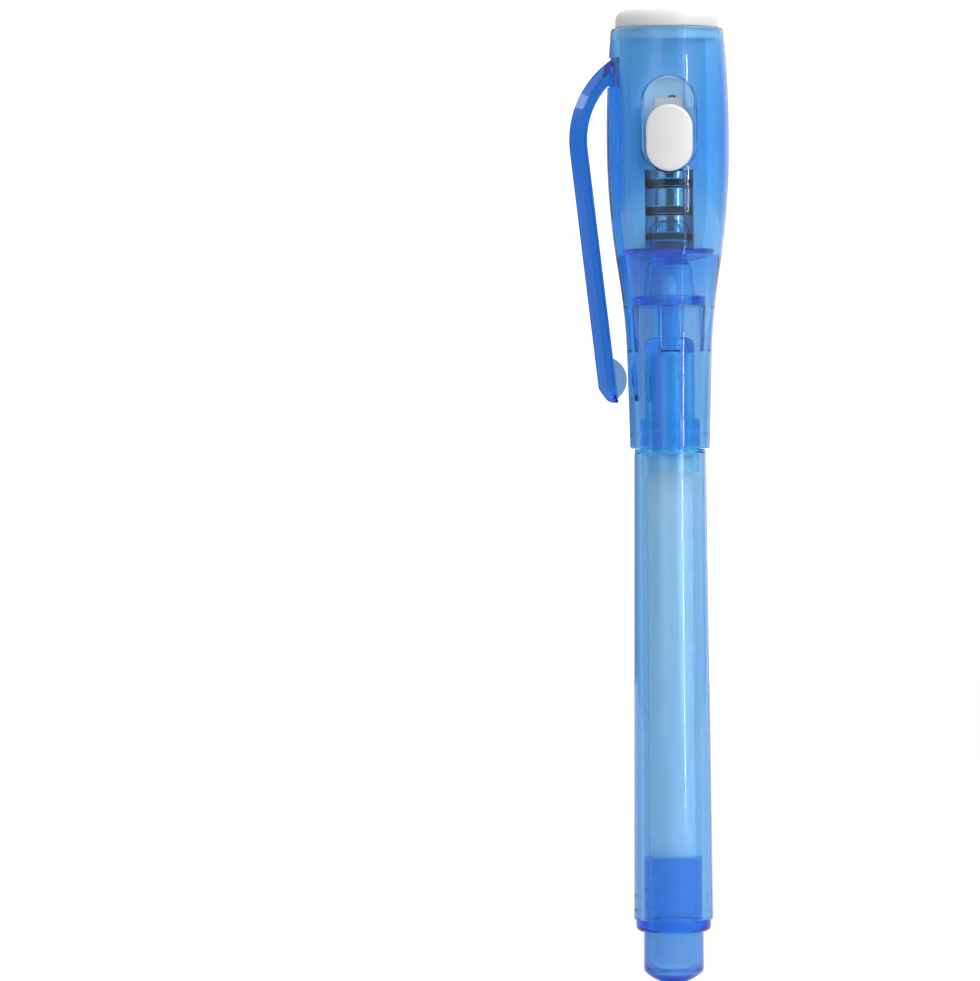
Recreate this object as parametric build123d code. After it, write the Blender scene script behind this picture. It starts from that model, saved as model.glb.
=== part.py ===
from build123d import *
import math
import os

# Invisible-ink marker pen with an ultraviolet lamp in its cap. All sizes are in millimetres.
# The pen's axis is Z and +Z points to the lamp. Z = 0 is the shoulder at the foot of the tail post.
# The switch faces -Y and the pocket clip is on the -X side.

# Clearances on each side
push_fit = 0.02
sliding_fit = 0.05
seat_gap = 0.05
slot_gap = 0.15

# Ink reservoir and nib
fibre_radius = 3.0
film_thickness = 0.13
reservoir_length = 53.7
nib_radius = 1.0
nib_depth_in_fibre = 4.0
nib_exposed = 3.7
nib_point_radius = 0.4
nib_point_length = 1.6

# Tail plug
post_step = 0.02
post_length = 5.2
dome_height = 1.7
post_edge_round = 0.7
post_end_wall = 1.4
post_hollow_round = 1.6
plug_flange_inset = 0.28
plug_flange_thickness = 1.6
plug_flange_round = 0.9
sleeve_length = 8.4
plug_wall = 1.08
ridge_height = 0.08
ridge_width = 0.9
ridge_offsets = (1.5, 3.4)
reservoir_seat_depth = 0.4

# Barrel
barrel_front_wall = 0.9
barrel_tail_wall = 1.38
barrel_edge_round = 0.25

# Front section
spigot_wall = 0.71
spigot_length = 2.6
section_seat_inset = 0.05
section_seat_thickness = 0.5
neck_step = 0.12
neck_length = 4.0
section_body_step = 0.67
section_body_length = 10.9
section_wall = 0.83
section_shoulder_round = 1.2
section_edge_round = 0.3
nose_wall = 1.03
nose_length = 5.3
nose_root_length = 2.2

# Cap shell
skirt_bore_gap = 0.15
skirt_bore_length = 4.6
skirt_wall = 1.18
skirt_flare = 0.32
skirt_length = 11.85
snap_bead_height = 0.06
snap_bead_width = 0.8
snap_bead_offset = 2.1
flare_radius = 85.0
cap_wall = 1.2
rim_wall = 1.05
belly_swell = 0.67
belly_below_rim = 14.9
cap_edge_round = 0.3
rim_edge_round = 0.4
rib_width = 2.4
rib_length = 6.2
rib_clearance = 0.15
rib_end_round = 0.5
window_width = 6.65
window_length = 12.75
window_above_lamp_foot = 0.6
window_bevel = 0.17
end_seat_step = 0.3
end_seat_depth = 1.75
seal_bore_draft = 0.1

# Inner cap that closes over the nib
nose_seal_gap = 0.07
nose_seal_length = 1.1
seal_flange_thickness = 1.3
seal_cone_low_radius = 3.5
seal_cone_top_radius = 3.05
seal_shoulder_height = 0.8
seal_shoulder_round = 1.0
seal_wall = 0.85
seal_neck_radius = 2.45
seal_neck_length = 0.5
nib_headroom = 0.7
core_floor_thickness = 0.55
tongue_width = 4.9
tongue_length = 3.8
tongue_thickness = 0.9
tongue_corner = 0.9

# Button cells
cell_radius = 3.95
cell_height = 3.6
cell_can_height = 2.6
cell_anode_radius = 3.1
cell_gasket_radius = 3.8
cell_gasket_height = 0.75
cell_edge_round = 0.25
cell_count = 3
spring_height = 1.1

# Lamp core
cell_bore_gap = 0.05
core_wall = 2.41
core_front_wall = 0.45
core_taper_length = 4.4
core_slot_width = 6.1
chamber_width = 4.5
chamber_height = 10.35
chamber_headroom = 0.4
core_collar_wall = 0.66
core_collar_height = 1.0
strip_groove_depth = 0.55

# Lamp
lamp_radius = 2.5
lamp_flange_radius = 2.9
lamp_flange_height = 1.0
lamp_length = 8.5
lamp_recess = 1.2
lead_thickness = 0.5
lead_spacing = 2.54
lead_turn = 23.0
lead_depth_in_lamp = 3.4
reflector_cup_width = 1.1
reflector_cup_height = 1.3

# Contacts
contact_thickness = 0.22
contact_width = 3.0
contact_ear_height = 1.0
contact_ear_depth = 0.35
contact_gap = 1.2
lamp_contact_width = 3.6
lamp_contact_height = 2.6
lamp_contact_below_lamp = 2.2
return_strip_width = 2.4

# End cap
end_cap_inset = 0.63
end_cap_height = 2.4
end_cap_round = 1.35
lamp_hole_gap = 0.25
lamp_hole_bevel = 0.9

# Switch
button_gap = 0.25
button_rest_gap = 0.06
button_length = 8.85
button_proud = 0.45
button_round = 0.4
shoe_thickness = 0.55
shoe_margin = 0.35
wiper_thickness = 0.2
wiper_width = 2.8
wiper_length = 4.6
wiper_round = 0.6

# Pocket clip
clip_gap = 2.57
clip_thickness = 2.4
clip_width = 4.4
clip_bow_radius = 13.05
clip_root_depth = 0.42
clip_lean = 6.5
clip_bevel = 1.15
clip_inner_bevel = 0.3
clip_tip_height = 6.15
clip_tip_land = 1.3
clip_tip_cut = 1.8
clip_tip_round = 1.5
clip_foot_height = 3.65
clip_foot_below_rim = 7.75
fin_radius = 3.1
fin_thickness = 1.1
fin_height = 9.25
fin_gap = 0.12

# Radii of the pen, from the reservoir outwards
film_inner_radius = fibre_radius + push_fit
film_outer_radius = film_inner_radius + film_thickness
reservoir_socket = film_outer_radius + push_fit
spigot_radius = reservoir_socket + spigot_wall
barrel_bore = spigot_radius + push_fit
barrel_front_radius = barrel_bore + barrel_front_wall
barrel_tail_radius = barrel_bore + barrel_tail_wall
section_seat_radius = barrel_front_radius - section_seat_inset
neck_radius = spigot_radius + neck_step
section_body_radius = neck_radius - section_body_step
section_chamber_radius = section_body_radius - section_wall
nib_bore = nib_radius + push_fit
nose_radius = nib_bore + nose_wall
post_radius = neck_radius - post_step
plug_hollow_radius = spigot_radius - plug_wall
plug_flange_radius = barrel_tail_radius - plug_flange_inset

# Radii of the cap: the skirt from the neck outwards, the head from the cells outwards
skirt_bore = neck_radius + skirt_bore_gap
skirt_mouth_radius = skirt_bore + skirt_wall
skirt_end_radius = skirt_mouth_radius + skirt_flare
rib_inner_radius = neck_radius + rib_clearance
cell_bore = cell_radius + cell_bore_gap
core_gap = sliding_fit + push_fit
core_radius = cell_bore + core_wall
upper_bore = core_radius + core_gap
rim_radius = upper_bore + rim_wall
belly_radius = rim_radius + belly_swell
end_cap_radius = rim_radius - end_cap_inset
end_seat_radius = upper_bore + end_seat_step
lamp_socket = lamp_flange_radius + push_fit
core_collar_radius = lamp_socket + core_collar_wall

# Depths in front of the axis, from the cells towards the switch
core_flat_distance = cell_bore + core_front_wall
shoe_back = core_flat_distance + sliding_fit
shoe_front = shoe_back + shoe_thickness
shoe_room = 2 * math.sqrt((upper_bore - slot_gap) ** 2 - shoe_front ** 2)
shoe_width = (window_width + shoe_room) / 2
contact_front = shoe_back - wiper_thickness - sliding_fit
contact_back = contact_front - contact_thickness
strip_spine = cell_bore + strip_groove_depth / 2
strip_bay_front = strip_spine - contact_thickness / 2 - lead_thickness - slot_gap

# Levels of the pen
barrel_low = plug_flange_thickness
sleeve_top = barrel_low + sleeve_length
reservoir_low = sleeve_top - reservoir_seat_depth
reservoir_top = reservoir_low + reservoir_length
barrel_top = reservoir_top + section_seat_thickness
section_seat_top = barrel_top + section_seat_thickness
neck_top = section_seat_top + neck_length
nose_low = neck_top + section_body_length
nose_top = nose_low + nose_length
nib_low = reservoir_top - nib_depth_in_fibre
nib_tip = nose_top + nib_exposed

# Levels of the cap
mouth = section_seat_top + seat_gap
skirt_bore_top = mouth + skirt_bore_length
skirt_end = mouth + skirt_length
seal_seat = nose_top - nose_seal_length
seal_flange_top = seal_seat + seal_flange_thickness
seal_roof = nib_tip + nib_headroom
seal_shoulder = seal_roof + seal_wall
core_floor_low = seal_shoulder + seal_neck_length
core_floor = core_floor_low + core_floor_thickness
core_low = core_floor + seat_gap
upper_bore_low = core_floor + core_taper_length
cells_low = core_low + spring_height
cells_top = cells_low + cell_count * cell_height
cells_roof = cells_top + contact_thickness
lamp_low = cells_top + chamber_height
lamp_flange_top = lamp_low + lamp_flange_height
chamber_top = lamp_low + chamber_headroom
end_cap_top = lamp_low + lamp_length + lamp_recess
end_cap_low = end_cap_top - end_cap_height
core_top = end_cap_low - seat_gap
rim = core_top
end_seat = rim - end_seat_depth
belly = rim - belly_below_rim
window_top = lamp_low + window_above_lamp_foot
window_low = window_top - window_length
button_low = window_low + button_rest_gap
lamp_contact_top = lamp_low - lamp_contact_below_lamp
lamp_contact_low = lamp_contact_top - lamp_contact_height
lamp_contact_ear = lamp_contact_low + contact_ear_height / 2
cell_contact_top = lamp_contact_low - contact_gap
cell_contact_ear = cells_top + 2 * contact_ear_height
wiper_low = lamp_contact_low - contact_gap / 3 - wiper_length
clip_foot_low = rim - clip_foot_below_rim
clip_foot_top = clip_foot_low + clip_foot_height
clip_foot_end = upper_bore + slot_gap
clip_tip = mouth + clip_tip_height
clip_reach = belly_radius + clip_gap + clip_thickness

# Flare of the cap: a concave arc that meets the skirt and the belly's convex arc smoothly
skirt_angle = math.atan2(skirt_end_radius - skirt_mouth_radius, skirt_length)
flare_x = skirt_end_radius + flare_radius * math.cos(skirt_angle)
flare_z = skirt_end - flare_radius * math.sin(skirt_angle)
flare_out = flare_x - belly_radius
flare_up = belly - flare_z
belly_arc = (flare_out ** 2 + flare_up ** 2 - flare_radius ** 2) / (2 * (flare_radius - flare_out))
flare_share = flare_radius / (flare_radius + belly_arc)
flare_end = flare_z + (belly - flare_z) * flare_share
rim_drop = belly_radius - rim_radius
rim_rise = rim - belly
rim_arc = (rim_drop ** 2 + rim_rise ** 2) / (2 * rim_drop)


def cap_radius(z):
    """Outer radius of the cap at a level."""
    if z <= skirt_end:
        return skirt_mouth_radius + (z - mouth) * math.tan(skirt_angle)
    if z <= flare_end:
        return flare_x - math.sqrt(flare_radius ** 2 - (z - flare_z) ** 2)
    arc = belly_arc if z <= belly else rim_arc
    return belly_radius - arc + math.sqrt(arc ** 2 - (z - belly) ** 2)


seal_bore = cap_radius(seal_seat) - cap_wall
floor_ledge = core_floor_low - seat_gap
hollow_stations = [
    (skirt_bore, skirt_bore_top),
    (seal_bore, seal_seat),
    (seal_bore + seal_bore_draft, floor_ledge),
    (cap_radius(core_floor) - cap_wall, floor_ledge),
    (upper_bore, upper_bore_low),
    (upper_bore, rim),
]


def hollow_radius(z):
    """Inner radius of the cap at a level above the skirt's bore."""
    for (low_radius, low), (top_radius, top) in zip(hollow_stations, hollow_stations[1:]):
        if z <= top:
            return low_radius + (top_radius - low_radius) * (z - low) / (top - low)
    return upper_bore


def lathe(corners):
    """Solid turned about the pen's axis. A third number on a corner rounds it."""
    face = make_face(Polyline(*[corner[:2] for corner in corners], close=True))
    for radius, level, *rounding in corners:
        if rounding:
            corner = face.vertices().sort_by_distance(Vector(radius, level))[0]
            face = fillet(corner, rounding[0])
    return revolve(Plane.XZ * face, Axis.Z)


def lathe_edges(edges):
    """Solid turned about the pen's axis from an outline with arcs in it."""
    return revolve(Plane.XZ * make_face(edges), Axis.Z)


def disc(radius, low, top):
    """Plain round solid on the pen's axis."""
    return Pos(0, 0, (low + top) / 2) * Cylinder(radius, top - low)


def block(width, front, back, low, top):
    """Straight-sided solid, centred left to right, between two depths and two levels."""
    return Pos(0, (front + back) / 2, (low + top) / 2) * Box(width, back - front, top - low)


def ribbon(points, thickness, width):
    """Bent strip of even thickness that follows points in the plane of depth and level."""
    path = Polyline(*points)
    return extrude(Plane.YZ * trace(path, thickness), amount=width / 2, both=True)


def make_ridge(offset, growth):
    """Snap ridge round the plug's sleeve, or with growth the groove that takes it."""
    level = barrel_low + offset
    half = ridge_width / 2 + growth
    return lathe([
        (spigot_radius - plug_wall / 2, level - half),
        (spigot_radius + growth, level - half),
        (spigot_radius + growth + ridge_height, level),
        (spigot_radius + growth, level + half),
        (spigot_radius - plug_wall / 2, level + half),
    ])


def make_tail_plug():
    dome_radius = (post_radius ** 2 + dome_height ** 2) / (2 * dome_height)
    dome_mid = post_radius / 2
    dome_tip = -post_length - dome_height
    dome_mid_level = dome_tip + dome_radius - math.sqrt(dome_radius ** 2 - dome_mid ** 2)
    post = lathe_edges([
        Line((0, 0), (post_radius, 0)),
        Line((post_radius, 0), (post_radius, -post_length)),
        ThreePointArc((post_radius, -post_length), (dome_mid, dome_mid_level), (0, dome_tip)),
        Line((0, dome_tip), (0, 0)),
    ])
    post = fillet(post.edges().sort_by_distance((post_radius, 0, -post_length))[0], post_edge_round)
    plug = post + lathe([
        (0, 0),
        (plug_flange_radius, 0, plug_flange_round),
        (plug_flange_radius, barrel_low),
        (spigot_radius, barrel_low),
        (spigot_radius, sleeve_top),
        (0, sleeve_top),
    ])
    for offset in ridge_offsets:
        plug += make_ridge(offset, 0)
    hollow_low = dome_tip + post_end_wall
    plug -= lathe([
        (0, hollow_low),
        (plug_hollow_radius, hollow_low, post_hollow_round),
        (plug_hollow_radius, sleeve_top),
        (0, sleeve_top),
    ])
    return plug - disc(reservoir_socket, reservoir_low, sleeve_top)


def make_barrel():
    tube = lathe([
        (barrel_bore, barrel_low),
        (barrel_tail_radius, barrel_low, barrel_edge_round),
        (barrel_front_radius, barrel_top, barrel_edge_round),
        (barrel_bore, barrel_top),
    ])
    for offset in ridge_offsets:
        tube -= make_ridge(offset, sliding_fit)
    return tube


def make_ink_fibre():
    return lathe([
        (0, reservoir_low),
        (fibre_radius, reservoir_low),
        (fibre_radius, reservoir_top),
        (nib_bore, reservoir_top),
        (nib_bore, nib_low),
        (0, nib_low),
    ])


def make_ink_film():
    return disc(film_outer_radius, reservoir_low, reservoir_top) - disc(
        film_inner_radius, reservoir_low, reservoir_top)


def make_front_section():
    spigot_low = barrel_top - spigot_length
    section_chamber_top = nose_low - nose_root_length
    return lathe([
        (reservoir_socket, spigot_low),
        (spigot_radius, spigot_low),
        (spigot_radius, barrel_top),
        (section_seat_radius, barrel_top),
        (section_seat_radius, section_seat_top),
        (neck_radius, section_seat_top),
        (neck_radius, neck_top, section_edge_round),
        (section_body_radius, neck_top),
        (section_body_radius, nose_low, section_shoulder_round),
        (nose_radius, nose_low),
        (nose_radius, nose_top, section_edge_round),
        (nib_bore, nose_top),
        (nib_bore, section_chamber_top),
        (section_chamber_radius, section_chamber_top),
        (section_chamber_radius, reservoir_top),
        (reservoir_socket, reservoir_top),
    ])


def make_fibre_nib():
    return lathe([
        (0, nib_low),
        (nib_radius, nib_low),
        (nib_radius, nib_tip - nib_point_length, nib_point_length / 2),
        (nib_point_radius, nib_tip, nib_point_radius / 2),
        (0, nib_tip),
    ])


def make_hollow(growth):
    """The space inside the cap above the skirt's bore, with its wall moved by the growth."""
    outline = [(radius + growth, level) for radius, level in hollow_stations]
    return lathe([(0, skirt_bore_top)] + outline + [(0, rim)])


def window_edges(shell):
    """The edges round the switch window on the outside of the cap."""
    found = []
    for edge in shell.edges():
        middle = edge @ 0.5
        beside = abs(middle.X) < window_width and middle.Y < 0
        level = window_low - slot_gap < middle.Z < window_top + slot_gap
        outside = math.hypot(middle.X, middle.Y) > upper_bore + cap_wall / 2
        if beside and level and outside and edge.length < window_length:
            found.append(edge)
    return found


def make_cap_shell():
    flare_mid = (skirt_end + flare_end) / 2
    belly_mid = (flare_end + belly) / 2
    rim_mid = (belly + rim) / 2
    shell = lathe_edges([
        Line((0, mouth), (skirt_mouth_radius, mouth)),
        Line((skirt_mouth_radius, mouth), (skirt_end_radius, skirt_end)),
        ThreePointArc(*[(cap_radius(z), z) for z in (skirt_end, flare_mid, flare_end)]),
        ThreePointArc(*[(cap_radius(z), z) for z in (flare_end, belly_mid, belly)]),
        ThreePointArc(*[(cap_radius(z), z) for z in (belly, rim_mid, rim)]),
        Line((rim_radius, rim), (0, rim)),
        Line((0, rim), (0, mouth)),
    ])
    shell = fillet(shell.edges().sort_by_distance((skirt_mouth_radius, 0, mouth))[0], cap_edge_round)
    shell = fillet(shell.edges().sort_by_distance((rim_radius, 0, rim))[0], rim_edge_round)
    shell -= make_hollow(0)
    shell -= disc(skirt_bore, mouth, skirt_bore_top)
    shell -= disc(end_seat_radius, end_seat, rim)
    bead = mouth + snap_bead_offset
    shell += lathe([
        (skirt_bore - snap_bead_height, bead),
        (skirt_bore, bead - snap_bead_width / 2),
        (skirt_bore + cap_wall / 2, bead - snap_bead_width / 2),
        (skirt_bore + cap_wall / 2, bead + snap_bead_width / 2),
        (skirt_bore, bead + snap_bead_width / 2),
    ])
    rib_low = seal_seat - rib_length
    rib_ring = lathe([
        (rib_inner_radius, seal_seat),
        (rib_inner_radius, rib_low, rib_end_round),
        (belly_radius, rib_low),
        (belly_radius, seal_seat),
    ])
    across = block(rib_width, -belly_radius, belly_radius, rib_low, seal_seat)
    shell += rib_ring & make_hollow(cap_wall / 2) & (across + Rot(0, 0, 90) * across)
    window = Pos(0, (window_low + window_top) / 2) * SlotOverall(window_length, window_width, rotation=90)
    shell -= extrude(Plane.XZ * window, amount=2 * belly_radius)
    shell = chamfer(window_edges(shell), window_bevel)
    foot_slot = block(
        clip_reach, -clip_width / 2 - slot_gap, clip_width / 2 + slot_gap,
        clip_foot_low - slot_gap, clip_foot_top + slot_gap)
    return shell - Pos(-clip_reach / 2, 0, 0) * foot_slot


def make_inner_cap():
    cup_radius = seal_cone_low_radius - seal_wall
    cup_roof_radius = seal_cone_top_radius - seal_wall
    cup = lathe([
        (nose_radius + nose_seal_gap, seal_seat),
        (hollow_radius(seal_seat) - push_fit, seal_seat),
        (hollow_radius(seal_flange_top) - push_fit, seal_flange_top),
        (seal_cone_low_radius, seal_flange_top),
        (seal_cone_top_radius, seal_shoulder - seal_shoulder_height, seal_shoulder_round),
        (seal_neck_radius, seal_shoulder),
        (seal_neck_radius, core_floor_low),
        (hollow_radius(core_floor_low) - push_fit, core_floor_low),
        (hollow_radius(core_floor) - push_fit, core_floor),
        (0, core_floor),
        (0, seal_roof),
        (cup_roof_radius, seal_roof),
        (cup_radius, seal_flange_top),
        (nose_radius + nose_seal_gap, seal_flange_top),
    ])
    tongue_back = -core_flat_distance - slot_gap
    tongue_top = core_floor + tongue_length
    tongue = block(
        tongue_width, tongue_back - tongue_thickness, tongue_back,
        core_floor - core_floor_thickness / 2, tongue_top)
    corners = tongue.edges().filter_by(Axis.Y).group_by(Axis.Z)[-1]
    tongue = chamfer(corners, tongue_corner)
    return cup + (tongue & make_hollow(-sliding_fit))


def make_lamp_core():
    core_head_low = end_seat + seat_gap
    core_head_radius = end_seat_radius - sliding_fit
    core = lathe([
        (cell_bore, core_low),
        (hollow_radius(core_low) - core_gap, core_low),
        (core_radius, upper_bore_low),
        (core_radius, core_head_low),
        (core_head_radius, core_head_low),
        (core_head_radius, core_top),
        (core_collar_radius, core_top),
        (core_collar_radius, core_top + core_collar_height),
        (lamp_socket, core_top + core_collar_height),
        (lamp_socket, lamp_low),
        (0, lamp_low),
        (0, cells_roof),
        (cell_bore, cells_roof),
    ])
    front = -belly_radius
    core -= block(2 * belly_radius, front, -core_flat_distance, core_low, core_head_low)
    core -= block(core_slot_width, front, 0, core_low, cells_roof)
    core -= block(chamber_width, front, sliding_fit - contact_back, cells_top, chamber_top)
    groove_width = return_strip_width + 2 * slot_gap
    groove_back = cell_bore + strip_groove_depth
    core -= block(groove_width, 0, groove_back, core_low, cells_roof)
    core -= block(groove_width, strip_bay_front, groove_back, cells_roof, lamp_low)
    for side in (-1, 1):
        core -= make_lead_run(side, slot_gap)
    for low in (cell_contact_ear, lamp_contact_ear):
        core -= block(
            chamber_width + 2 * contact_ear_depth + 2 * push_fit,
            -contact_front - push_fit, -contact_back + push_fit,
            low - push_fit, low + contact_ear_height + push_fit)
    return core


def make_cell(number):
    """One button cell, listed from the lowest, with its anode side down."""
    low = cells_low + (number - 1) * cell_height
    can_low = low + cell_height - cell_can_height
    can = lathe([
        (0, can_low),
        (cell_radius, can_low, cell_edge_round),
        (cell_radius, low + cell_height, cell_edge_round),
        (0, low + cell_height),
    ])
    gasket = disc(cell_gasket_radius, can_low - cell_gasket_height, can_low) - disc(
        cell_anode_radius, can_low - cell_gasket_height, can_low)
    anode = lathe([
        (0, low),
        (cell_anode_radius, low, cell_edge_round),
        (cell_anode_radius, can_low),
        (0, can_low),
    ])
    return can, gasket, anode


def make_contact(width, low, top, ear_low):
    """Upright contact plate in the chamber, with an ear in the core on each side."""
    plate = block(width, -contact_front, -contact_back, low, top)
    ears_width = chamber_width + 2 * contact_ear_depth
    return plate + block(ears_width, -contact_front, -contact_back, ear_low, ear_low + contact_ear_height)


def make_cell_contact():
    plate = make_contact(contact_width, cells_top, cell_contact_top, cell_contact_ear)
    leaf_back = cell_anode_radius / 2
    return plate + block(contact_width, -contact_front, leaf_back, cells_top, cells_top + contact_thickness)


def make_return_strip():
    leaf = core_low + contact_thickness / 2
    arch = cells_low - contact_thickness
    leaf_half = cell_bore / 2
    path = [(strip_spine, lamp_low), (strip_spine, leaf), (leaf_half, leaf), (0, arch), (-leaf_half, leaf)]
    return ribbon(path, contact_thickness, return_strip_width)


def make_lead_in_lamp(side, growth):
    """The end of a lead inside the lamp. The front one is a post and the back one carries a cup."""
    centre = side * lead_spacing / 2
    half = lead_thickness / 2 + growth
    top = lamp_low + lead_depth_in_lamp
    post = block(2 * half, centre - half, centre + half, lamp_low, top + growth)
    if side > 0:
        cup_low = top - reflector_cup_height - growth
        cup_half = reflector_cup_width / 2 + growth
        cup = block(2 * cup_half, -growth, centre + half, cup_low, top + growth)
        post += cup
    return Rot(0, 0, lead_turn) * post


def make_lead_run(side, growth):
    """A lead below the lamp, bent outwards to its contact, or with growth the channel that takes it."""
    start = side * lead_spacing / 2
    size = lead_thickness + 2 * growth
    if side < 0:
        landing = -contact_back + lead_thickness / 2 + push_fit
        end = lamp_contact_top - lead_thickness
    else:
        landing = strip_spine - (contact_thickness + lead_thickness) / 2 - push_fit
        end = lamp_low - 3 * lead_thickness
    bend = lamp_low - lead_thickness
    straight = ribbon([(start, lamp_low), (start, bend - growth)], size, size)
    offset = -start * math.sin(math.radians(lead_turn))
    depth = start * math.cos(math.radians(lead_turn))
    path = [(depth, bend + push_fit), (landing, end + lead_thickness), (landing, end - growth)]
    run = Pos(offset, 0, 0) * ribbon(path, size, size)
    return Rot(0, 0, lead_turn) * straight + run


def make_lead(side):
    """One lamp lead, from inside the lamp to its contact."""
    return make_lead_in_lamp(side, 0) + make_lead_run(side, 0)


def make_lamp_lens():
    dome = lamp_low + lamp_length - lamp_radius
    slant = lamp_radius * math.sqrt(0.5)
    lens = lathe_edges([
        Line((0, lamp_low), (lamp_flange_radius, lamp_low)),
        Line((lamp_flange_radius, lamp_low), (lamp_flange_radius, lamp_flange_top)),
        Line((lamp_flange_radius, lamp_flange_top), (lamp_radius, lamp_flange_top)),
        Line((lamp_radius, lamp_flange_top), (lamp_radius, dome)),
        ThreePointArc((lamp_radius, dome), (slant, dome + slant), (0, dome + lamp_radius)),
        Line((0, dome + lamp_radius), (0, lamp_low)),
    ])
    for side in (-1, 1):
        lens -= make_lead_in_lamp(side, push_fit)
    return lens


def make_end_cap():
    hole = lamp_radius + lamp_hole_gap
    cap = lathe([
        (hole, end_cap_low),
        (end_cap_radius, end_cap_low),
        (end_cap_radius, end_cap_top, end_cap_round),
        (hole + lamp_hole_bevel, end_cap_top),
        (hole, end_cap_top - lamp_hole_bevel),
    ])
    return cap - disc(core_collar_radius + push_fit, end_cap_low, core_top + core_collar_height + push_fit)


def make_switch_button():
    width = window_width - 2 * button_gap
    level = button_low + button_length / 2
    crown = belly_radius + button_proud
    outline = Plane.XZ * (Pos(0, level) * SlotOverall(button_length, width, rotation=90))
    button = extrude(outline, amount=2 * crown) & disc(crown, button_low, button_low + button_length)
    button -= block(2 * crown, -shoe_back, crown, button_low, button_low + button_length)
    face = button.faces().filter_by(GeomType.CYLINDER).sort_by_distance((0, -crown, level))[0]
    button = fillet(face.edges(), button_round)
    shoe_top = button_low + button_length - shoe_margin
    return button + block(shoe_width, -shoe_front, -shoe_back, button_low + shoe_margin, shoe_top)


def make_switch_wiper():
    outline = Pos(0, wiper_low + wiper_length / 2) * RectangleRounded(wiper_width, wiper_length, wiper_round)
    return Pos(0, -shoe_back + wiper_thickness, 0) * extrude(Plane.XZ * outline, amount=wiper_thickness)


def make_pocket_clip():
    inner_bow = clip_bow_radius - clip_thickness
    bow_x = clip_bow_radius - clip_reach
    root_x = clip_root_depth - cap_radius(clip_foot_top)
    bow_level = clip_foot_top - math.sqrt(clip_bow_radius ** 2 - (root_x - bow_x) ** 2)
    lean = math.radians(clip_lean)

    def bow(radius, angle):
        return (bow_x - radius * math.cos(angle), bow_level + radius * math.sin(angle))

    def down_to(point, level):
        return (point[0] + (point[1] - level) * math.tan(lean), level)

    outer_angle = math.asin((clip_foot_top - bow_level) / clip_bow_radius)
    inner_angle = math.asin((clip_foot_low - bow_level) / inner_bow)
    outer_start = bow(clip_bow_radius, outer_angle)
    outer_mid = bow(clip_bow_radius, (outer_angle - lean) / 2)
    outer_end = bow(clip_bow_radius, -lean)
    inner_start = bow(inner_bow, inner_angle)
    inner_mid = bow(inner_bow, (inner_angle - lean) / 2)
    inner_end = bow(inner_bow, -lean)
    tip_inner = down_to(inner_end, clip_tip)
    tip_outer = (tip_inner[0] - clip_tip_land, clip_tip)
    outer_low = down_to(outer_end, clip_tip + clip_tip_cut)
    side = make_face([
        Line((-clip_foot_end, clip_foot_top), outer_start),
        ThreePointArc(outer_start, outer_mid, outer_end),
        Line(outer_end, outer_low),
        Line(outer_low, tip_outer),
        Line(tip_outer, tip_inner),
        Line(tip_inner, inner_end),
        ThreePointArc(inner_end, inner_mid, inner_start),
        Line(inner_start, (-clip_foot_end, clip_foot_low)),
        Line((-clip_foot_end, clip_foot_low), (-clip_foot_end, clip_foot_top)),
    ])
    for x, z in (outer_low, tip_outer):
        corner = side.vertices().sort_by_distance(Vector(x, z))[0]
        side = fillet(corner, clip_tip_round)
    clip = extrude(Plane.XZ * side, amount=clip_width / 2, both=True)
    straight_mid = ((outer_end[0] + outer_low[0]) / 2, (outer_end[1] + outer_low[1]) / 2)
    bevelled = []
    for x, z in (outer_mid, straight_mid):
        for y in (-clip_width / 2, clip_width / 2):
            bevelled.append(clip.edges().sort_by_distance((x, y, z))[0])
    clip = chamfer(bevelled, clip_bevel)
    inner_straight_mid = ((inner_end[0] + tip_inner[0]) / 2, (inner_end[1] + tip_inner[1]) / 2)
    softened = []
    for x, z in (inner_mid, inner_straight_mid):
        for y in (-clip_width / 2, clip_width / 2):
            softened.append(clip.edges().sort_by_distance((x, y, z))[0])
    clip = chamfer(softened, clip_inner_bevel)
    fin_level = mouth + fin_height
    fin_x = -cap_radius(fin_level) - fin_gap - fin_radius
    half = clip_thickness / 2
    middle_top = (inner_end[0] - half, inner_end[1])
    middle_low = (tip_inner[0] - half, clip_tip)
    inside = make_face(Polyline(middle_top, middle_low, (0, clip_tip), (0, inner_end[1]), close=True))
    fin = (Pos(fin_x, fin_level) * Circle(fin_radius)) & inside
    return clip + extrude(Plane.XZ * fin, amount=fin_thickness / 2, both=True)


nodes = {
    "tail_plug": make_tail_plug(),
    "barrel": make_barrel(),
    "ink_fibre": make_ink_fibre(),
    "ink_film": make_ink_film(),
    "front_section": make_front_section(),
    "fibre_nib": make_fibre_nib(),
    "cap_shell": make_cap_shell(),
    "inner_cap": make_inner_cap(),
    "lamp_core": make_lamp_core(),
    "lamp_lens": make_lamp_lens(),
    "lamp_front_lead": make_lead(-1),
    "lamp_back_lead": make_lead(1),
    "lamp_contact": make_contact(lamp_contact_width, lamp_contact_low, lamp_contact_top, lamp_contact_ear),
    "cell_contact": make_cell_contact(),
    "return_strip": make_return_strip(),
    "end_cap": make_end_cap(),
    "switch_button": make_switch_button(),
    "switch_wiper": make_switch_wiper(),
    "pocket_clip": make_pocket_clip(),
}
for number in range(1, cell_count + 1):
    can, gasket, anode = make_cell(number)
    nodes[f"cell_{number}_can"] = can
    nodes[f"cell_{number}_gasket"] = gasket
    nodes[f"cell_{number}_anode"] = anode

os.makedirs("parts", exist_ok=True)
for name, shape in nodes.items():
    export_step(shape, f"parts/{name}.step")
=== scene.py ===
import math

import bpy
from mathutils import Matrix, Vector


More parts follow.
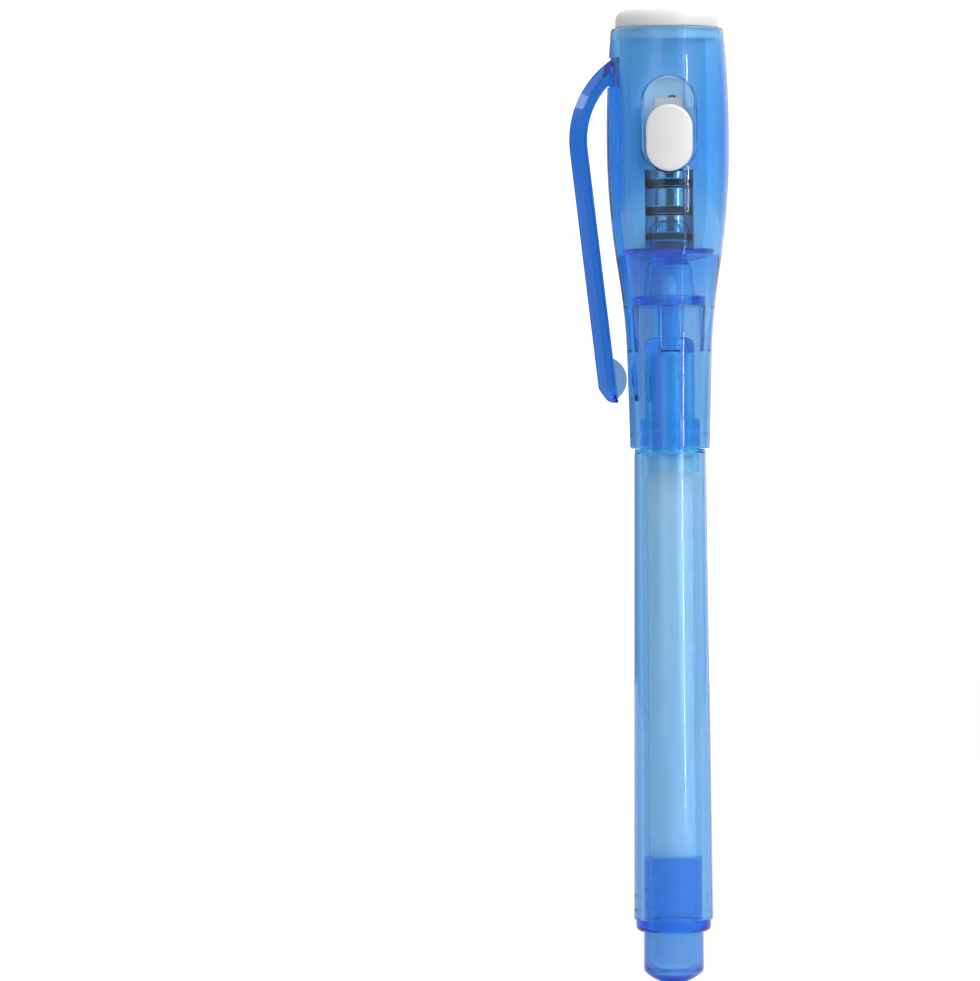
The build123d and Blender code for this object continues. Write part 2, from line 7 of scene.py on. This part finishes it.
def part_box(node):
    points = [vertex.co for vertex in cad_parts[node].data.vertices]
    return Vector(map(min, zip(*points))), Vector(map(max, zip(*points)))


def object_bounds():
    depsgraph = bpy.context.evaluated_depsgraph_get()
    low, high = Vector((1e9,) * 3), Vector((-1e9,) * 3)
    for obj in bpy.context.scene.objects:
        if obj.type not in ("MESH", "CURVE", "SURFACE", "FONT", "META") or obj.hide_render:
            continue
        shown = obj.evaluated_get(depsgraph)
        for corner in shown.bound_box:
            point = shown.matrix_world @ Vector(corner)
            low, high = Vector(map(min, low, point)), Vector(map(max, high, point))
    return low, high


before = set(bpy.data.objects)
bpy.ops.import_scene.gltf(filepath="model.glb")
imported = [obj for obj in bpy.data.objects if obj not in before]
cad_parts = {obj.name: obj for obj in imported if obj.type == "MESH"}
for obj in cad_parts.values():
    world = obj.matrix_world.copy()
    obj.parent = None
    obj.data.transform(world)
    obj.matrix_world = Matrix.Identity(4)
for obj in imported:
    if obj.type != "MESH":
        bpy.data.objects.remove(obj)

MM = 0.001
cad_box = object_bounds()

# The photograph's frame, in its own pixels
IMAGE_WIDTH = 980
IMAGE_HEIGHT = 981
FOCAL_PIXELS = 7125.0
PIXELS_PER_METRE = 7500.0
AXIS_UPPER_PIXEL = (667.0, 30.0)
AXIS_LOWER_PIXEL = (673.5, 900.0)
LOWEST_POINT_ROW = 983.0

# Camera
SENSOR = 36.0
CLIP_NEAR = 0.05
CLIP_FAR = 20.0

# Light from the world: in the open, on the left in front, in the band at the horizon and in its two panels
WORLD_BRIGHT = 1.25
WORLD_LEFT = 0.4
WORLD_BAND = 0.2
WORLD_PANEL = 1.0

# Where these parts of the world begin and end, in directions of length 1
FRONT_RAMP = (-0.3, 0.1)
LEFT_RAMP = (-0.35, 0.0)
BEHIND_RAMP = (0.8, 1.0)
BEHIND_SKEW = 0.3
BAND_RAMP = (0.2, 0.5)
PANELS_MIDDLE = 0.1
PANEL_INNER_RAMP = (0.22, 0.32)
PANEL_OUTER_RAMP = (0.65, 0.8)

# Lamps
STRIP_ANGLE = math.radians(37.0)
STRIP_DISTANCE = 0.8
STRIP_WIDTH = 0.022
STRIP_HEIGHT = 0.42
STRIP_RADIANCE = 30.0
KEY_PLACE = (0.55, -0.32, 0.55)
KEY_SIZE = 0.4
KEY_RADIANCE = 4.5
FILL_PLACE = (-0.69, 0.0, 0.41)
FILL_SIZE = 0.12
FILL_RADIANCE = 3.5

# Floor
FLOOR_HALF = 1.5
FLOOR_WHITE = 0.6
FLOOR_GLOW_SHARE = 0.75
FLOOR_GLOW = 1.12
FLOOR_BEHIND_RAMP = (0.0, 0.1)

# White sheet close behind the pen
SHEET_HALF = 0.2
SHEET_GAP = 0.3 * MM
SHEET_WHITE = 0.9

# How far the floor and the sheet stray from their white, and how rough they are
STAGE_MOTTLE = 0.01
STAGE_ROUGHNESS = (0.75, 0.9)

# Bounces of light through clear walls, off shining ones and off dull ones
CLEAR_BOUNCES = 32
SHINE_BOUNCES = 12
SCATTER_BOUNCES = 8

# What a metre of each clear material takes from red, green and blue light
CAP_DEPTH = (510.0, 195.0, 12.0)
BARREL_DEPTH = (460.0, 172.0, 4.0)
INNER_DEPTH = (480.0, 140.0, 15.0)
SECTION_DEPTH = (260.0, 60.0, 4.0)
PLUG_DEPTH = (1000.0, 310.0, 3.0)
CLIP_DEPTH = (640.0, 225.0, 4.0)
RESIN_DEPTH = (30.0, 46.0, 4.0)

# The density of an absorbing material, as a share of the most that it takes
DENSITY_MARGIN = 1.05

# How far light bends in each material
BLUE_IOR = 1.49
WHITE_IOR = 1.5
RESIN_IOR = 1.53
FILM_IOR = 1.2

# Colours on the clear blue plastic
CLEAR_DULL = (0.93, 0.96, 0.98)
CLEAR_BRIGHT = (0.97, 0.99, 1.0)
SPECK_BLUE = (0.10, 0.20, 0.45)
# The dark blue of the painted lines of shade along edges and seams
PAINTED_SHADE_BLUE = (0.02, 0.06, 0.20)

# The scuffed part of the tail plug: how milky it is, and over what height that sets in
SCUFF_SHARE = 0.08
SCUFF_BLEND = 0.4 * MM

# The switch button's hidden side under the cap, in a milky blue of painted shade: the colour, how far
# behind its front that starts, and its blend
BUTTON_PAINTED_SHADE_BLUE = (0.42, 0.64, 0.84)
BUTTON_FRONT_DEPTH = 2.0 * MM
BUTTON_BLEND = 1.4 * MM

# The switch's window in the cap shell, and how far it reaches below the button
WINDOW_WIDTH = 6.65 * MM
WINDOW_LENGTH = 12.75 * MM
WINDOW_LOW_GAP = 0.06 * MM

# The tongue of the inner cap, from its top to just above its foot
TONGUE_WIDTH = 4.9 * MM
TONGUE_LENGTH = 3.7 * MM
TONGUE_CORNER = 0.9 * MM

# How far from an edge or seam its painted dark line of shade starts to fade, and where it ends
WINDOW_LINE = (0.05 * MM, 0.14 * MM)
SEAM_LINE = (0.08 * MM, 0.16 * MM)
TONGUE_LINE = (0.06 * MM, 0.13 * MM)
SEAM_SHARE = 0.8

# The deeper blue of the front section outside the barrel, and over what height it sets in
SECTION_TINT = (0.36, 0.78, 0.98)
TINT_BLEND = 0.1 * MM

# How noise is stretched along the three axes
EVEN = (1.0, 1.0, 1.0)
UPRIGHT_GRAIN = (1.0, 1.0, 0.1)

# Parts a ray that hasn't bounced yet from one that has bounced once or more
FIRST_BOUNCE = 0.5

# Radius that parts the cap shell's inner faces from its outer ones where the lamp core ends
SEAM_RADIUS = 7.0 * MM


class Graph:
    """Short calls that add and join nodes in one shader tree."""

    def __init__(self, tree):
        self.tree = tree

    def add(self, kind, **inputs):
        node = self.tree.nodes.new("ShaderNode" + kind)
        for name, value in inputs.items():
            self.put(node, name.replace("_", " "), value)
        return node

    def put(self, node, name, value):
        socket = node.inputs[name]
        if isinstance(value, bpy.types.NodeSocket):
            self.tree.links.new(value, socket)
        else:
            socket.default_value = value

    def math(self, operation, first, second=0.0):
        node = self.tree.nodes.new("ShaderNodeMath")
        node.operation = operation
        for socket, value in zip(node.inputs, (first, second)):
            if isinstance(value, bpy.types.NodeSocket):
                self.tree.links.new(value, socket)
            else:
                socket.default_value = value
        return node.outputs[0]

    def spread(self, value, low, high, start=0.0, end=1.0):
        """A value from start to end, moved to the range low to high."""
        node = self.add("MapRange", Value=value, From_Min=start, From_Max=end, To_Min=low, To_Max=high)
        return node.outputs["Result"]

    def place(self, stretch=EVEN):
        """Where a point lies on the piece, in metres, stretched along the three axes."""
        coordinates = self.tree.nodes.new("ShaderNodeTexCoord")
        mapping = self.add("Mapping", Vector=coordinates.outputs["Object"], Scale=stretch)
        return mapping.outputs["Vector"]

    def noise(self, size, detail, stretch=EVEN):
        """Cloudy noise with spots about size metres across."""
        node = self.add("TexNoise", Vector=self.place(stretch), Scale=1.0 / size, Detail=detail)
        return node.outputs["Fac"]

    def specks(self, spacing, radius):
        """1 in small round specks about spacing metres apart, 0 elsewhere."""
        node = self.add("TexVoronoi", Vector=self.place(), Scale=1.0 / spacing)
        return self.spread(node.outputs["Distance"], 1.0, 0.0, 0.6 * radius / spacing, radius / spacing)

    def blend_colours(self, share, first, second):
        node = self.tree.nodes.new("ShaderNodeMix")
        node.data_type = "RGBA"
        self.tree.links.new(share, node.inputs["Factor"])
        for socket, value in zip((node.inputs[6], node.inputs[7]), (first, second)):
            if isinstance(value, bpy.types.NodeSocket):
                self.tree.links.new(value, socket)
            else:
                socket.default_value = (*value, 1.0)
        return node.outputs[2]

    def mix_surfaces(self, share, first, second):
        """Puts a mix of two shaders on the surface."""
        mix = self.tree.nodes.new("ShaderNodeMixShader")
        self.tree.links.new(share, mix.inputs[0])
        self.tree.links.new(first.outputs[0], mix.inputs[1])
        self.tree.links.new(second.outputs[0], mix.inputs[2])
        output = self.tree.nodes["Material Output"]
        self.tree.links.new(mix.outputs[0], output.inputs["Surface"])

    def bump(self, height, depth, under=None):
        """A bump of height times depth metres, over another bump where one is given."""
        node = self.add("Bump", Height=height, Distance=depth, Strength=1.0)
        if under is not None:
            self.tree.links.new(under, node.inputs["Normal"])
        return node.outputs["Normal"]


def start_material(name):
    material = bpy.data.materials.new(name)
    material.use_nodes = True
    graph = Graph(material.node_tree)
    shader = material.node_tree.nodes["Principled BSDF"]
    return material, graph, shader


def absorb(material, graph, taken):
    """Gives the inside of a clear material its colour, from what a metre takes of each primary."""
    node = material.node_tree.nodes.new("ShaderNodeVolumeAbsorption")
    density = DENSITY_MARGIN * max(taken)
    node.inputs["Color"].default_value = (*[1.0 - share / density for share in taken], 1.0)
    node.inputs["Density"].default_value = density
    output = material.node_tree.nodes["Material Output"]
    graph.tree.links.new(node.outputs["Volume"], output.inputs["Volume"])


def scatter_inside(shader, weight, reach):
    """Lets a share of the light spread about reach metres under the surface, alike in all colours."""
    shader.inputs["Subsurface Weight"].default_value = weight
    shader.inputs["Subsurface Radius"].default_value = (1.0, 1.0, 1.0)
    shader.inputs["Subsurface Scale"].default_value = reach


def cap_painted_shade_lines(graph):
    """1 where the cap shell gets a painted dark line of shade: along the window's edge and in the seam
    under the lamp core.
    """
    radius = WINDOW_WIDTH / 2
    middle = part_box("switch_button")[0].z - WINDOW_LOW_GAP + WINDOW_LENGTH / 2
    place = graph.add("SeparateXYZ", Vector=graph.place()).outputs
    across = graph.math("POWER", place["X"], 2.0)
    along = graph.math("ABSOLUTE", graph.math("SUBTRACT", place["Z"], middle))
    beyond = graph.math("MAXIMUM", graph.math("SUBTRACT", along, WINDOW_LENGTH / 2 - radius), 0.0)
    away = graph.math("SQRT", graph.math("ADD", across, graph.math("POWER", beyond, 2.0)))
    off_edge = graph.math("ABSOLUTE", graph.math("SUBTRACT", away, radius))
    front = graph.math("LESS_THAN", place["Y"], 0.0)
    # Painted shade: a dark line along the window's edge
    edge = graph.math("MULTIPLY", graph.spread(off_edge, 1.0, 0.0, *WINDOW_LINE), front)
    off_seam = graph.math("ABSOLUTE", graph.math("SUBTRACT", place["Z"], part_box("lamp_core")[0].z))
    out = graph.math("SQRT", graph.math("ADD", across, graph.math("POWER", place["Y"], 2.0)))
    inside = graph.math("LESS_THAN", out, SEAM_RADIUS)
    # Painted shade: a dark line at the seam under the lamp core
    seam = graph.math("MULTIPLY", graph.spread(off_seam, SEAM_SHARE, 0.0, *SEAM_LINE), inside)
    patchy = graph.spread(graph.noise(1.5 * MM, 2.0), 0.5, 1.0, 0.35, 0.6)
    return graph.math("MULTIPLY", graph.math("MAXIMUM", edge, seam), patchy)


def tongue_painted_shade_outline(graph):
    """1 along the outline of the inner cap's tongue, where a dark line of shade is painted."""
    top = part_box("inner_cap")[1].z
    place = graph.add("SeparateXYZ", Vector=graph.place()).outputs
    to_side = graph.math("SUBTRACT", TONGUE_WIDTH / 2, graph.math("ABSOLUTE", place["X"]))
    to_top = graph.math("SUBTRACT", top, place["Z"])
    to_corner = graph.math("SUBTRACT", graph.math("ADD", to_side, to_top), TONGUE_CORNER)
    to_edge = graph.math("MINIMUM", graph.math("MINIMUM", to_side, to_top), to_corner)
    # Painted shade: a dark line along the tongue's outline
    edge = graph.spread(to_edge, 1.0, 0.0, *TONGUE_LINE)
    return graph.math("MULTIPLY", edge, graph.math("LESS_THAN", to_top, TONGUE_LENGTH))


def make_blue_plastic(
        name, taken, smooth, rough, painted_line_mask=None, scuffed_below=None, deeper_above=None):
    """Clear blue plastic with a polish between smooth and rough.

    Where they are given, it is darkened by a mask of painted shade lines, scuffed below one level or deeper
    blue above another.
    """
    material, graph, shader = start_material(name)
    smudges = graph.noise(4 * MM, 4.0)
    scratches = graph.noise(0.5 * MM, 2.0, (3.0, 3.0, 0.12))
    scratch_lines = graph.spread(scratches, 0.0, 1.0, 0.66, 0.74)
    specks = graph.specks(9 * MM, 0.13 * MM)
    clear = graph.blend_colours(smudges, CLEAR_DULL, CLEAR_BRIGHT)
    if deeper_above is not None:
        level = graph.add("SeparateXYZ", Vector=graph.place()).outputs["Z"]
        deep = graph.spread(level, 0.0, 1.0, deeper_above, deeper_above + TINT_BLEND)
        clear = graph.blend_colours(deep, clear, SECTION_TINT)
    colour = graph.blend_colours(specks, clear, SPECK_BLUE)
    if painted_line_mask is not None:
        # Dark lines of painted shade, where the given mask is 1
        colour = graph.blend_colours(painted_line_mask(graph), colour, PAINTED_SHADE_BLUE)
    graph.put(shader, "Base Color", colour)
    worn = graph.math("MULTIPLY", scratch_lines, 0.08)
    graph.put(shader, "Roughness", graph.math("ADD", graph.spread(smudges, smooth, rough), worn))
    ripples = graph.bump(graph.noise(2.2 * MM, 1.0), 0.004 * MM)
    graph.put(shader, "Normal", graph.bump(scratch_lines, -0.0008 * MM, ripples))
    shader.inputs["Transmission Weight"].default_value = 1.0
    if scuffed_below is not None:
        level = graph.add("SeparateXYZ", Vector=graph.place()).outputs["Z"]
        scuffed = graph.spread(level, SCUFF_SHARE, 0.0, scuffed_below - SCUFF_BLEND, scuffed_below)
        patchy = graph.math("MULTIPLY", scuffed, graph.spread(smudges, 0.5, 1.3))
        graph.put(shader, "Transmission Weight", graph.math("SUBTRACT", 1.0, patchy))
    shader.inputs["IOR"].default_value = BLUE_IOR
    absorb(material, graph, taken)
    return material


def make_white_plastic(name, painted_shade_from=None):
    """White plastic; where a depth is given, it has a painted milky-blue shade further back than that, for
    the shade under the cap.
    """
    material, graph, shader = start_material(name)
    clouds = graph.noise(3 * MM, 4.0)
    grain = graph.noise(0.12 * MM, 2.0)
    colour = graph.blend_colours(clouds, (0.77, 0.77, 0.78), (0.82, 0.82, 0.825))
    if painted_shade_from is not None:
        depth = graph.add("SeparateXYZ", Vector=graph.place()).outputs["Y"]
        painted_shade_share = graph.spread(depth, 0.0, 1.0, painted_shade_from, painted_shade_from + BUTTON_BLEND)
        # Painted shade: the button's back, under the cap, turns milky blue
        colour = graph.blend_colours(painted_shade_share, colour, BUTTON_PAINTED_SHADE_BLUE)
    graph.put(shader, "Base Color", colour)
    graph.put(shader, "Roughness", graph.spread(clouds, 0.32, 0.46))
    graph.put(shader, "Normal", graph.bump(grain, 0.004 * MM))
    scatter_inside(shader, 0.35, 0.8 * MM)
    shader.inputs["IOR"].default_value = WHITE_IOR
    return material


def make_milky_plastic():
    material, graph, shader = start_material("milky_plastic_finish")
    clouds = graph.noise(2.5 * MM, 4.0)
    colour = graph.blend_colours(clouds, (0.50, 0.74, 0.92), (0.58, 0.80, 0.96))
    graph.put(shader, "Base Color", colour)
    graph.put(shader, "Roughness", graph.spread(clouds, 0.30, 0.45))
    graph.put(shader, "Normal", graph.bump(graph.noise(0.4 * MM, 2.0), 0.006 * MM))
    scatter_inside(shader, 0.5, 1.5 * MM)
    shader.inputs["IOR"].default_value = WHITE_IOR
    return material


def make_white_fibre():
    material, graph, shader = start_material("white_fibre_finish")
    streaks = graph.noise(0.25 * MM, 3.0, (1.0, 1.0, 0.04))
    clouds = graph.noise(5 * MM, 2.0)
    pale = graph.blend_colours(streaks, (0.86, 0.88, 0.90), (0.93, 0.94, 0.95))
    damp = graph.blend_colours(graph.spread(clouds, 0.0, 0.25), pale, (0.80, 0.86, 0.92))
    graph.put(shader, "Base Color", damp)
    graph.put(shader, "Roughness", graph.spread(streaks, 0.6, 0.85))
    graph.put(shader, "Normal", graph.bump(streaks, 0.01 * MM))
    scatter_inside(shader, 0.9, 3.5 * MM)
    return material


def make_clear_film():
    material, graph, shader = start_material("clear_film_finish")
    wrinkles = graph.noise(1.5 * MM, 2.0, (1.0, 1.0, 0.15))
    colour = graph.blend_colours(wrinkles, (0.95, 0.97, 0.98), (0.99, 0.99, 1.0))
    graph.put(shader, "Base Color", colour)
    graph.put(shader, "Roughness", graph.spread(wrinkles, 0.03, 0.12))
    graph.put(shader, "Normal", graph.bump(wrinkles, 0.003 * MM))
    shader.inputs["Transmission Weight"].default_value = 1.0
    shader.inputs["IOR"].default_value = FILM_IOR
    return material


def make_lamp_resin():
    material, graph, shader = start_material("lamp_resin_finish")
    clouds = graph.noise(1.2 * MM, 2.0)
    colour = graph.blend_colours(clouds, (0.90, 0.88, 0.97), (0.97, 0.96, 1.0))
    graph.put(shader, "Base Color", colour)
    graph.put(shader, "Roughness", graph.spread(clouds, 0.02, 0.06))
    graph.put(shader, "Normal", graph.bump(clouds, 0.004 * MM))
    shader.inputs["Transmission Weight"].default_value = 1.0
    shader.inputs["IOR"].default_value = RESIN_IOR
    absorb(material, graph, RESIN_DEPTH)
    return material


def make_metal(name, dark, light, smooth, rough, grain_stretch):
    """Metal between two greys, tarnished in patches, with a polish between smooth and rough."""
    material, graph, shader = start_material(name)
    grain = graph.noise(0.3 * MM, 3.0, grain_stretch)
    tarnish = graph.noise(2.0 * MM, 3.0)
    bright = graph.blend_colours(grain, dark, light)
    colour = graph.blend_colours(graph.spread(tarnish, 0.0, 0.5, 0.45, 0.8), bright, dark)
    graph.put(shader, "Base Color", colour)
    graph.put(shader, "Roughness", graph.spread(grain, smooth, rough))
    graph.put(shader, "Normal", graph.bump(grain, 0.003 * MM))
    shader.inputs["Metallic"].default_value = 1.0
    return material


def make_cell_gasket():
    material, graph, shader = start_material("cell_gasket_finish")
    grain = graph.noise(0.2 * MM, 3.0)
    colour = graph.blend_colours(grain, (0.012, 0.016, 0.02), (0.03, 0.04, 0.045))
    graph.put(shader, "Base Color", colour)
    graph.put(shader, "Roughness", graph.spread(grain, 0.4, 0.65))
    graph.put(shader, "Normal", graph.bump(grain, 0.01 * MM))
    return material


def start_stage_material(name, white, spot, detail):
    """A dull, slightly clouded white, with clouds about spot metres across."""
    material, graph, shader = start_material(name)
    clouds = graph.noise(spot, detail)
    low = (white - STAGE_MOTTLE,) * 3
    high = (white + STAGE_MOTTLE,) * 3
    graph.put(shader, "Base Color", graph.blend_colours(clouds, low, high))
    graph.put(shader, "Roughness", graph.spread(clouds, *STAGE_ROUGHNESS))
    shader.inputs["Specular IOR Level"].default_value = 0.0
    return material, graph, shader


def make_floor_finish():
    """A floor that the camera sees as white, but for the pen's shadow."""
    material, graph, shader = start_stage_material("floor_finish", FLOOR_WHITE, 0.08, 3.0)
    glow = graph.add("Emission", Color=(1.0, 1.0, 1.0, 1.0), Strength=FLOOR_GLOW)
    across = graph.add("SeparateXYZ", Vector=graph.place())
    behind = graph.spread(across.outputs["Y"], 0.0, 1.0, *FLOOR_BEHIND_RAMP)
    share = graph.math("MULTIPLY", background_share(graph, behind), FLOOR_GLOW_SHARE)
    graph.mix_surfaces(share, shader, glow)
    return material


def make_sheet_finish():
    """White card that shows only through something clear, where it bears the pen's tinted shadow."""
    material, graph, shader = start_stage_material("sheet_finish", SHEET_WHITE, 0.03, 2.0)
    path = graph.tree.nodes.new("ShaderNodeLightPath")
    through = graph.math("MULTIPLY", path.outputs["Is Transmission Ray"], before_scatter(graph, path))
    graph.mix_surfaces(through, graph.add("BsdfTransparent"), shader)
    return material


def before_scatter(graph, path):
    """1 for a ray from the camera that has met only clear or shining surfaces so far."""
    return graph.math("LESS_THAN", path.outputs["Diffuse Depth"], FIRST_BOUNCE)


def background_share(graph, behind):
    """1 where the camera sees the background: straight, through something clear or mirrored from behind."""
    path = graph.tree.nodes.new("ShaderNodeLightPath")
    unmirrored = graph.math("LESS_THAN", path.outputs["Glossy Depth"], FIRST_BOUNCE)
    through = graph.math("MULTIPLY", path.outputs["Is Transmission Ray"], unmirrored)
    straight = graph.math("MAXIMUM", path.outputs["Is Camera Ray"], through)
    mirrored = graph.math("MULTIPLY", path.outputs["Is Glossy Ray"], behind)
    seen = graph.math("MAXIMUM", straight, mirrored)
    return graph.math("MULTIPLY", seen, before_scatter(graph, path))


def make_stage_plane(name, corners, material):
    mesh = bpy.data.meshes.new(name)
    mesh.from_pydata(corners, [], [(0, 1, 2, 3)])
    mesh.materials.append(material)
    plane = bpy.data.objects.new(name, mesh)
    bpy.context.scene.collection.objects.link(plane)


def make_floor_and_sheet():
    square = ((-1, -1), (1, -1), (1, 1), (-1, 1))
    low = cad_box[0].z
    corners = [(across * FLOOR_HALF, along * FLOOR_HALF, low) for across, along in square]
    make_stage_plane("floor", corners, make_floor_finish())
    behind = cad_box[1].y + SHEET_GAP
    middle = (cad_box[0].z + cad_box[1].z) / 2
    corners = [(across * SHEET_HALF, behind, middle + up * SHEET_HALF) for across, up in square]
    make_stage_plane("sheet", corners, make_sheet_finish())


def make_world():
    """Studio surroundings, white where the camera sees them.

    As light they are bright, but dim on the left in front and in a band along the horizon. The band has two
    bright panels in front, and it stays bright straight behind the pen.
    """
    world = bpy.data.worlds.new("studio")
    bpy.context.scene.world = world
    world.use_nodes = True
    graph = Graph(world.node_tree)
    coordinates = graph.tree.nodes.new("ShaderNodeTexCoord")
    split = graph.add("SeparateXYZ", Vector=coordinates.outputs["Generated"])
    side = split.outputs["X"]
    depth = split.outputs["Y"]
    height = graph.math("ABSOLUTE", split.outputs["Z"])
    front = graph.spread(depth, 1.0, 0.0, *FRONT_RAMP)
    skewed_depth = graph.math("ADD", depth, graph.math("MULTIPLY", side, BEHIND_SKEW))
    behind = graph.spread(skewed_depth, 0.0, 1.0, *BEHIND_RAMP)
    left = graph.math("MULTIPLY", front, graph.spread(side, 1.0, 0.0, *LEFT_RAMP))
    open_level = graph.spread(left, WORLD_BRIGHT, WORLD_LEFT)
    aside = graph.math("ABSOLUTE", graph.math("SUBTRACT", side, PANELS_MIDDLE))
    past_inner = graph.spread(aside, 0.0, 1.0, *PANEL_INNER_RAMP)
    within_outer = graph.spread(aside, 1.0, 0.0, *PANEL_OUTER_RAMP)
    panels = graph.math("MULTIPLY", past_inner, within_outer)
    band_level = graph.spread(graph.math("MULTIPLY", front, panels), WORLD_BAND, WORLD_PANEL)
    low = graph.spread(height, 1.0, 0.0, *BAND_RAMP)
    band = graph.math("MULTIPLY", low, graph.math("SUBTRACT", 1.0, behind))
    change = graph.math("MULTIPLY", band, graph.math("SUBTRACT", band_level, open_level))
    level = graph.math("ADD", open_level, change)
    strength = graph.math("MAXIMUM", level, background_share(graph, behind))
    background = graph.tree.nodes["Background"]
    background.inputs["Color"].default_value = (1.0, 1.0, 1.0, 1.0)
    graph.tree.links.new(strength, background.inputs["Strength"])


def make_area_lamp(name, place, target, width, height, radiance):
    lamp = bpy.data.lights.new(name, "AREA")
    lamp.shape = "RECTANGLE"
    lamp.size = width
    lamp.size_y = height
    lamp.energy = radiance * math.pi * width * height
    holder = bpy.data.objects.new(name, lamp)
    bpy.context.scene.collection.objects.link(holder)
    holder.location = place
    holder.rotation_euler = (target - place).to_track_quat("-Z", "Y").to_euler()
    holder.visible_camera = False


def make_lamps():
    middle = (cad_box[0] + cad_box[1]) / 2
    target = Vector((0.0, 0.0, middle.z))
    away = Vector((math.sin(STRIP_ANGLE), -math.cos(STRIP_ANGLE), 0.0))
    place = target + away * STRIP_DISTANCE
    make_area_lamp("strip", place, target, STRIP_WIDTH, STRIP_HEIGHT, STRIP_RADIANCE)
    make_area_lamp("key", target + Vector(KEY_PLACE), target, KEY_SIZE, KEY_SIZE, KEY_RADIANCE)
    make_area_lamp("fill", target + Vector(FILL_PLACE), target, FILL_SIZE, FILL_SIZE, FILL_RADIANCE)


def make_camera():
    """Looks along +Y, rolled so that the pen leans in the picture as it does in the photograph."""
    run = AXIS_LOWER_PIXEL[0] - AXIS_UPPER_PIXEL[0]
    drop = AXIS_LOWER_PIXEL[1] - AXIS_UPPER_PIXEL[1]
    roll = math.atan2(run, drop)
    right = Vector((math.cos(roll), 0.0, -math.sin(roll)))
    up = Vector((math.sin(roll), 0.0, math.cos(roll)))
    back = Vector((0.0, -1.0, 0.0))
    middle_row = IMAGE_HEIGHT / 2
    axis_column = AXIS_UPPER_PIXEL[0] + run * (middle_row - AXIS_UPPER_PIXEL[1]) / drop
    height = cad_box[0].z + (LOWEST_POINT_ROW - middle_row) / PIXELS_PER_METRE
    aside = (axis_column - IMAGE_WIDTH / 2) / PIXELS_PER_METRE
    target = Vector((0.0, 0.0, height)) - right * aside
    lens = bpy.data.cameras.new("camera")
    lens.sensor_width = SENSOR
    lens.lens = SENSOR * FOCAL_PIXELS / max(IMAGE_WIDTH, IMAGE_HEIGHT)
    lens.clip_start = CLIP_NEAR
    lens.clip_end = CLIP_FAR
    camera = bpy.data.objects.new("camera", lens)
    bpy.context.scene.collection.objects.link(camera)
    turn = Matrix((right, up, back)).transposed().to_4x4()
    camera.matrix_world = Matrix.Translation(target + back * FOCAL_PIXELS / PIXELS_PER_METRE) @ turn
    bpy.context.scene.camera = camera


def finish_nodes():
    button_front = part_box("switch_button")[0].y
    own = {
        # The button's back gets a painted milky-blue shade
        "switch_button": make_white_plastic("button_finish", button_front + BUTTON_FRONT_DEPTH),
        # The cap shell's dark lines at the window's edge and the lamp core's seam are painted shade
        "cap_shell": make_blue_plastic("blue_cap_finish", CAP_DEPTH, 0.015, 0.05, cap_painted_shade_lines),
        "barrel": make_blue_plastic("blue_barrel_finish", BARREL_DEPTH, 0.015, 0.05),
        "pocket_clip": make_blue_plastic("blue_clip_finish", CLIP_DEPTH, 0.02, 0.06),
        "tail_plug": make_blue_plastic("blue_plug_finish", PLUG_DEPTH, 0.12, 0.2, scuffed_below=0.0),
        "front_section": make_blue_plastic(
            "blue_section_finish", SECTION_DEPTH, 0.06, 0.12, deeper_above=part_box("barrel")[1].z),
        # The inner cap's dark tongue outline is painted shade
        "inner_cap": make_blue_plastic("blue_inner_finish", INNER_DEPTH, 0.08, 0.15, tongue_painted_shade_outline),
    }
    finishes = {
        "white_plastic": make_white_plastic("white_plastic_finish"),
        "milky_plastic": make_milky_plastic(),
        "white_fibre": make_white_fibre(),
        "clear_film": make_clear_film(),
        "lamp_resin": make_lamp_resin(),
        "tinned_wire": make_metal(
            "tinned_wire_finish", (0.50, 0.50, 0.50), (0.72, 0.72, 0.71), 0.3, 0.45, EVEN),
        "plated_contact": make_metal(
            "plated_contact_finish", (0.70, 0.71, 0.72), (0.86, 0.86, 0.86), 0.4, 0.55, EVEN),
        # The steel's greys are tinted blue, a painted reflection of the blue shell around the cells
        "cell_steel": make_metal(
            "cell_steel_finish", (0.36, 0.44, 0.54), (0.60, 0.68, 0.76), 0.08, 0.18, UPRIGHT_GRAIN),
        "cell_gasket": make_cell_gasket(),
    }
    for name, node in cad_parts.items():
        slot = node.material_slots[0]
        slot.material = own[name] if name in own else finishes[slot.material.name]


def set_render_paths():
    """Enough bounces for light to cross all the clear walls, with none of them blurred."""
    cycles = bpy.context.scene.cycles
    cycles.max_bounces = CLEAR_BOUNCES
    cycles.transmission_bounces = CLEAR_BOUNCES
    cycles.glossy_bounces = SHINE_BOUNCES
    cycles.diffuse_bounces = SCATTER_BOUNCES
    cycles.blur_glossy = 0.0


finish_nodes()
make_floor_and_sheet()
make_world()
make_lamps()
make_camera()
set_render_paths()
bpy.context.scene.view_settings.view_transform = "Standard"
